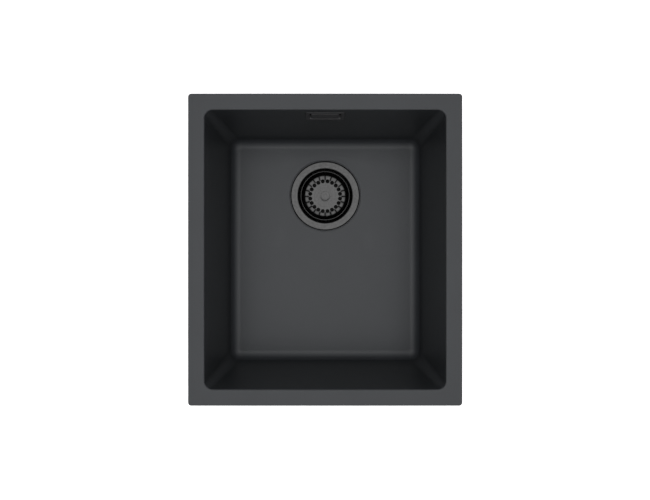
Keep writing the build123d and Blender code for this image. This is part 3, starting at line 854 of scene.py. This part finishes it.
plug_radius = 30.0
plug_bevel = 4.0
plug_lip_inner = 25.0
plug_profile = rounded([
    (thread_hole, web_bottom, 0),
    (plug_lip_inner, web_bottom, 0.8),
    (plug_lip_inner, seat_z, 0.4),
    (plug_radius, seat_z, 0.6),
    (plug_radius, web_bottom, 1.0),
    (plug_radius - plug_bevel, seal_top, 0.4),
    (thread_hole, seal_top, 0),
], steps=5)
plug_rubber = turned("plug_rubber", plug_profile, place=at_waste, steps=128)
finished(plug_rubber, rubber, "plug", "rubber", "plug_seal")


def steel_disc(name, outer, bottom, top, node):
    """A plate or washer on the plug's stem, with broken edges."""
    edge = 0.25
    corners = [(thread_hole, bottom, 0), (outer, bottom, edge), (outer, top, edge), (thread_hole, top, 0)]
    disc = turned(name, rounded(corners, steps=3, support=0.3), place=at_waste, steps=128)
    finished(disc, steel, "plug", "plain_steel", node)


plate_radius = 18.0
washer_radius = 14.0
steel_disc("plug_plate_steel", plate_radius, seal_top, plate_top, "plug_plate")
steel_disc("plug_washer_steel", washer_radius, washer_bottom, web_bottom, "plug_washer")

nut_flats = 10.0
nut_rows = [hexagon(nut_flats, nut_bottom), hexagon(nut_flats, washer_bottom)]
nut = skin("stem_nut_steel", nut_rows, ring=False, place=at_waste)
nut_hole = bar("nut bore", thread_hole, nut_bottom - overcut, washer_bottom + overcut, at_waste)
combine(nut, "DIFFERENCE", [nut_hole])
finished(nut, steel, "plug", "plain_steel", "stem_nut")

# Overflow frame and cover
# Two dark plastic mouldings in the rear wall: a frame let into a recess, leaning out of the wall
# towards its lower edge, and a plate clipped into its middle that leaves slots at the ends.
frame_gap = 0.4                    # between the frame and the sides of the recess
frame_half = (overflow_plate[0] / 2 - frame_gap, overflow_plate[1] / 2 - frame_gap)
frame_least_corner = 0.6
frame_ring = 5.0
frame_back = -overflow_recess
frame_rise = 2.6                   # how much further out its lower edge stands than its upper one
frame_lean = frame_rise / (2 * frame_half[1])
frame_proud = 1.7
frame_edge = 0.5
edge_angles = [step / 4 * pi / 2 for step in range(5)]
bridge_size = (44.6, 9.0, 0.6)
bridge_front = -2.9
bridge_back = -5.5
screw_x = 13.5
screw_clearance = 2.3
peg_x = 6.0
peg_radius = 1.5


def leaning(loop, depth):
    """Points on a plane that leans out of the wall towards its lower edge."""
    return [(x, y, frame_proud - y * frame_lean + depth) for x, y in loop]


def frame_loop(inset):
    """The outline of the frame, drawn in by an inset."""
    corner = max(frame_least_corner, overflow_plate[2] - inset)
    return rounded_loop(frame_half[0] - inset, frame_half[1] - inset, corner)


frame_rows = [[(x, y, frame_back) for x, y in frame_loop(0.0)]]
for angle in edge_angles:
    inset = frame_edge * (1 - cos(angle))
    frame_rows.append(leaning(frame_loop(inset), frame_edge * (sin(angle) - 1)))
for angle in edge_angles:
    inset = frame_ring - frame_edge * (1 - sin(angle))
    frame_rows.append(leaning(frame_loop(inset), frame_edge * (cos(angle) - 1)))
frame_rows.append([(x, y, frame_back) for x, y in frame_loop(frame_ring)])
overflow_frame = skin("overflow_frame_moulding", frame_rows, place=wall_inside)
bridge = slab("bridge", *bridge_size, bridge_back, bridge_front, wall_inside)
combine(overflow_frame, "UNION", [bridge])
frame_holes = []
for across, radius in ((screw_x, screw_clearance), (peg_x, peg_radius + close_fit)):
    for x in (-across, across):
        place = wall_inside @ Matrix.Translation((x, 0, 0))
        hole = bar("frame hole", radius, bridge_back - overcut, bridge_front + overcut, place)
        frame_holes.append(hole)
combine(overflow_frame, "DIFFERENCE", frame_holes)

# ABS, moulded in the sink's grey: satin, with a fine spark-eroded grain drawn at 0.8 mm.
dark_plastic = mottled("ABS, moulded, dark grey", 0.8 * mm, "#323233", "#3c3c3e", depth=0.04 * mm,
                       Roughness=0.45)
finished(overflow_frame, dark_plastic, "sink", "dark_plastic", "overflow_frame")

cover_half = (19.1, 9.5)
cover_corner = 1.5
cover_thickness = 1.8
cover_round = 0.8
cover_rows = [leaning(rounded_loop(*cover_half, cover_corner), -cover_thickness)]
for step in range(6):
    angle = step / 5 * pi / 2
    inset = cover_round * (1 - cos(angle))
    loop = rounded_loop(cover_half[0] - inset, cover_half[1] - inset, cover_corner - inset)
    cover_rows.append(leaning(loop, cover_round * (sin(angle) - 1)))
cover = skin("overflow_cover_moulding", cover_rows, ring=False, place=wall_inside)
pegs = []
peg_top = frame_proud - cover_thickness / 2
for x in (-peg_x, peg_x):
    place = wall_inside @ Matrix.Translation((x, 0, 0))
    pegs.append(bar("peg", peg_radius, bridge_back, peg_top, place))
combine(cover, "UNION", pegs)
finished(cover, dark_plastic, "sink", "dark_plastic", "overflow_cover")

# Overflow elbow, gasket and screws
# A moulded polypropylene funnel behind the wall, on a flat rubber frame. Two screws behind the
# cover go through the frame's bar into posts in the funnel, and draw the pieces together.
gasket_back = -2.0
elbow_back = -5.0
gasket = slab("overflow_gasket_frame", *overflow_plate, gasket_back, 0.0, wall_outside)
gasket_hole = slab("gasket hole", *overflow_way, gasket_back - overcut, overcut, wall_outside)
combine(gasket, "DIFFERENCE", [gasket_hole])
finished(gasket, rubber, "sink", "rubber", "overflow_gasket")

elbow_wall = 2.5
elbow_top = -16.0
neck_z = -50.0
waist_z = -38.667
spigot_end = -76.0
pipe_y = 207.991
elbow_half = 25.5
elbow_front = 198.55
elbow_rear = 210.0
squareness = 9.0                   # power of a slice's outline: 2 is a circle, more is a box
slice_steps = 128
spigot_face = 3.0                  # width of the flat face at the spigot's end
spigot_thread = thread(spigot_radius, spigot_pitch, spigot_thread_depth,
                       spigot_end + thread_lead, spigot_end + spigot_thread_length)


def slice_row(half, deep, middle, power, height):
    """A level slice through the funnel: an outline between a circle and a rounded box."""
    row = []
    for step in range(slice_steps):
        angle = 2 * pi * step / slice_steps
        across = abs(cos(angle)) ** (2 / power) * (1 if cos(angle) > 0 else -1)
        along = abs(sin(angle)) ** (2 / power) * (1 if sin(angle) > 0 else -1)
        row.append((half * across, middle + deep * along, height))
    return row


def funnel_rows(inset, front):
    """Slices of the funnel from its round neck up to its top, drawn in by an inset."""
    neck = spigot_radius - inset
    top = elbow_top - inset
    edge = 2.0
    rows = []
    heights = [neck_z + (top - edge - neck_z) * step / 24 for step in range(25)]
    heights += [top - edge * (1 - sin(step * pi / 8)) for step in range(1, 5)]
    for z in heights:
        to_top = (z - neck_z) / (elbow_top - neck_z)
        to_waist = smooth_step(0.0, 1.0, (z - neck_z) / (waist_z - neck_z))
        drawn_in = edge - sqrt(max(0.0, edge ** 2 - max(0.0, z - top + edge) ** 2))
        half = neck + (elbow_half - inset - neck) * to_waist - drawn_in
        rear = pipe_y + neck + (elbow_rear - inset - pipe_y - neck) * to_top - drawn_in
        face_y = pipe_y - neck + (front - pipe_y + neck) * to_waist
        power = 2.0 + (squareness - 2.0) * to_waist
        rows.append(slice_row(half, (rear - face_y) / 2, (rear + face_y) / 2, power, z))
    return rows


def spigot_rows():
    """Rows up the threaded spigot, from its end to the funnel's neck."""
    profile = rounded([
        (spigot_radius - spigot_face, spigot_end, 0),
        (spigot_radius, spigot_end, 0.6),
        (spigot_radius, neck_z - edge_break, 0),
    ], closed=False)
    profile = along_thread(profile, spigot_radius, spigot_pitch)
    rows = turned_rows(profile, slice_steps, spigot_thread)
    return [[(x, pipe_y + y, z) for x, y, z in row] for row in rows]


elbow = skin("overflow_elbow_moulding", spigot_rows() + funnel_rows(0.0, elbow_front), ring=False)
elbow_plate = slab("elbow plate", *overflow_plate, elbow_back, gasket_back, wall_outside)
combine(elbow, "UNION", [elbow_plate])
hollow = skin("elbow hollow", funnel_rows(elbow_wall, elbow_front - overcut), ring=False)
way_in = slab("elbow passage", *overflow_way, elbow_back - overcut, 0.0, wall_outside)
at_pipe = Matrix.Translation((0, pipe_y, 0))
spigot_hole = bar("spigot bore", spigot_bore, spigot_end - overcut, neck_z + elbow_wall, at_pipe)
combine(elbow, "DIFFERENCE", [hollow, way_in, spigot_hole])
screw_places = [wall_outside @ Matrix.Translation((x, 0, 0)) for x in (-screw_x, screw_x)]
post_radius = 4.0
post_front = wall_depth + bridge_back
post_rear = -17.4
fixing_radius = 2.0
post_hole = fixing_radius + close_fit
posts = []
post_holes = []
for place in screw_places:
    posts.append(bar("post", post_radius, post_rear, post_front, place))
    post_holes.append(bar("post hole", post_hole, elbow_back, post_front + overcut, place))
combine(elbow, "UNION", posts)
combine(elbow, "DIFFERENCE", post_holes)
finished(elbow, moulded, "sink", "waste_plastic", "overflow_elbow")

fixing_head = 3.4
fixing_under = wall_depth + bridge_front
fixing_top = fixing_under + 1.6
fixing_pitch = 0.7
fixing_thread_depth = 0.35
fixing_cap = 0.3
fixing_profile = rounded([
    (fixing_cap, elbow_back, 0),
    (fixing_radius, elbow_back, 0.6),
    (fixing_radius, fixing_under, 0),
    (fixing_head, fixing_under, 0.2),
    (fixing_head, fixing_top, 0.7),
    (fixing_cap, fixing_top, 0),
], closed=False, steps=4, support=0.2)
slot_half = 0.5
slot_depth = 0.8
slot_ends = (fixing_top - slot_depth, fixing_top + overcut)
slot_rows = [[(x, y, z) for x, y in oblong(fixing_head, -slot_half, slot_half)] for z in slot_ends]
for index, place in enumerate(screw_places):
    fixing = threaded(f"overflow_screw_{index + 1}", fixing_profile, fixing_radius, fixing_pitch,
                      fixing_thread_depth, elbow_back, post_front, place=place, steps=48)
    combine(fixing, "DIFFERENCE", [skin("slot", slot_rows, ring=False, place=place)])
    finished(fixing, steel, "sink", "plain_steel", "overflow_screws")

# Overflow pipe and its two slip joints
# A moulded pipe, bent once, between the elbow and the waste body. At each end a ribbed nut presses
# a conical rubber ring between the pipe and a threaded spigot.
pipe_radius = 9.0
pipe_bore = 7.2
pipe_bend = 30.0
pipe_entry = 11.0                  # how far the pipe reaches into each spigot
bend_steps = 24
pipe_steps = 64
route = [(pipe_y, spigot_end + pipe_entry, 0.0)]
for step in range(bend_steps + 1):
    bend = step / bend_steps * pi / 2
    y = pipe_y - pipe_bend * (1 - cos(bend))
    z = branch_z + pipe_bend * (1 - sin(bend))
    route.append((y, z, bend))
route.append((waste_y + branch_end - pipe_entry, branch_z, pi / 2))


def pipe_row(y, z, bend, radius):
    """A circle of points round the pipe, square to its route, which has turned through an angle."""
    ring = circle(radius, 0, steps=pipe_steps, start=0)
    return [(x, y + out * cos(bend), z - out * sin(bend)) for x, out, flat in ring]


pipe_rows = [pipe_row(*point, pipe_radius) for point in route]
pipe_rows += [pipe_row(*point, pipe_bore) for point in reversed(route)]
pipe = skin("overflow_pipe_moulding", pipe_rows)
finished(pipe, moulded, "sink", "waste_plastic", "overflow_pipe")

nut_bore = spigot_radius + close_fit
nut_body = 13.08
nut_low = -11.0
nut_high = 7.0
seal_bore = pipe_radius + close_fit
seal_tip = 10.13
seal_height = 4.0
grip_count = 12
grip_steps = 20                    # points round the nut for each rib
grip_pitch = 6.0                   # a rib has as many rows of points as a thread of this pitch
grip_radius = 1.0
grip_end = 0.6                     # plain part at each end of a rib


def gripped(angle, radius, height):
    """Round ribs along the outside of a slip nut, that fade out at its ends."""
    if radius < nut_body - same_radius:
        return radius, height
    beside = nut_body * 2 * pi / grip_count * (((angle * grip_count / (2 * pi) + 0.5) % 1.0) - 0.5)
    rib = sqrt(max(0.0, grip_radius ** 2 - beside ** 2))
    fade = min(1.0, max(0.0, min(height - nut_low, nut_high - height) - grip_end))
    return radius + rib * fade, height


slip_profile = rounded([
    (nut_bore, nut_low, 0.4),
    (nut_body, nut_low, 0.6),
    (nut_body, nut_high, 0.9),
    (spigot_bore, nut_high, 0.4),
    (spigot_bore, seal_height, 0),
    (nut_bore, seal_height, 0),
], steps=5)
slip_profile = along_thread(slip_profile, nut_body, grip_pitch)
seal_profile = rounded([
    (seal_bore, 0, 0.1),
    (spigot_radius, 0, 0.1),
    (spigot_radius, seal_height / 2, 0.3),
    (seal_tip, seal_height, 0.3),
    (seal_bore, seal_height, 0.1),
], steps=3, support=0.2)
upper_joint = facing((0, pipe_y, spigot_end), (1, 0, 0), (0, 0, -1))
for name, place in (("upper", upper_joint), ("lower", lower_joint)):
    slip_nut = turned(f"{name}_nut_moulding", slip_profile, place=place,
                      steps=grip_count * grip_steps, shape=gripped)
    finished(slip_nut, moulded, "sink", "waste_plastic", f"{name}_nut")
    cone_seal = turned(f"{name}_cone_ring", seal_profile, place=place, steps=96)
    finished(cone_seal, rubber, "sink", "rubber", f"{name}_cone_seal")

# Studio
# A plain pale floor and backdrop, a wide soft light overhead and a camera straight above the sink.
# In gloss the room shows a white light box overhead, pale walls and a dimmer gap between the two.
floor_level = -0.2896              # in metres, just under the outlet
floor_half = 6.0
floor_glow = 0.6
floor_corners = [(x, y, floor_level) for x, y in oblong(floor_half, -floor_half, floor_half)]
floor_mesh = bpy.data.meshes.new("floor")
floor_mesh.from_pydata(floor_corners, [], [(0, 1, 2, 3)])
floor = put("floor", floor_mesh)

# Paper, uncoated: white and dull. It glows a little to the eye, so that it stays white.
paper, face = new_material("white paper, uncoated", Base_Color=linear("#f2f2f2"), Roughness=0.9,
                           Emission_Color=linear("#ffffff"))
ray = add(paper, "LightPath", {})
seen = add(paper, "Math", {0: ray["Is Camera Ray"], 1: ray["Is Glossy Ray"]}, operation="ADD")
seen = add(paper, "Math", {0: seen["Value"], 1: ray["Is Transmission Ray"]}, operation="ADD")
add(paper, "Math", {0: seen["Value"], 1: floor_glow}, to=face["Emission Strength"], operation="MULTIPLY")
floor_mesh.materials.append(paper)

camera_data = bpy.data.cameras.new("camera")
camera_data.lens = 41.82
camera = put("camera", camera_data)
camera.location = (-0.00023, -0.00047, 1.015)
bpy.context.scene.camera = camera

# The heights below are those of a direction, from 0 level to 1 straight up.
box_heights = (0.8, 0.99)          # the light box comes up from the gap between these
box_level = 1.05
wall_heights = (0.25, 0.55)        # the walls fade into the gap between these
wall_level = 1.0
gap_level = 0.4
fill_level = 0.08                  # all the light that the room adds to a dull surface
studio = bpy.data.worlds.new("studio")
bpy.context.scene.world = studio
studio.use_nodes = True
backdrop = studio.node_tree.nodes["Background"].inputs
backdrop["Color"].default_value = linear("#ffffff")
ray = add(studio, "LightPath", {})
direction = add(studio, "TexCoord", {})["Generated"]
upward = add(studio, "SeparateXYZ", {"Vector": direction})["Z"]
light_box = add(studio, "MapRange",
                {"Value": upward, "From Min": box_heights[0], "From Max": box_heights[1],
                 "To Min": gap_level, "To Max": box_level}, interpolation_type="SMOOTHSTEP")
pale_walls = add(studio, "MapRange",
                 {"Value": upward, "From Min": wall_heights[0], "From Max": wall_heights[1],
                  "To Min": wall_level, "To Max": gap_level}, interpolation_type="SMOOTHSTEP")
room = add(studio, "Math", {0: light_box["Result"], 1: pale_walls["Result"]}, operation="MAXIMUM")
mirrored = add(studio, "Math", {0: ray["Is Glossy Ray"], 1: room["Value"]}, operation="MULTIPLY")
seen = add(studio, "Math", {0: ray["Is Camera Ray"], 1: mirrored["Value"]}, operation="ADD")
seen = add(studio, "Math", {0: seen["Value"], 1: ray["Is Transmission Ray"]}, operation="ADD")
add(studio, "Math", {0: seen["Value"], 1: 1 - fill_level, 2: fill_level},
    to=backdrop["Strength"], operation="MULTIPLY_ADD")

lamp = bpy.data.lights.new("overhead", "AREA")
lamp.size = 1.6
lamp.energy = 63
overhead = put("overhead", lamp)
overhead.location = (0, 0, 2.2)
overhead.visible_glossy = False
bpy.context.scene.view_settings.view_transform = "Standard"
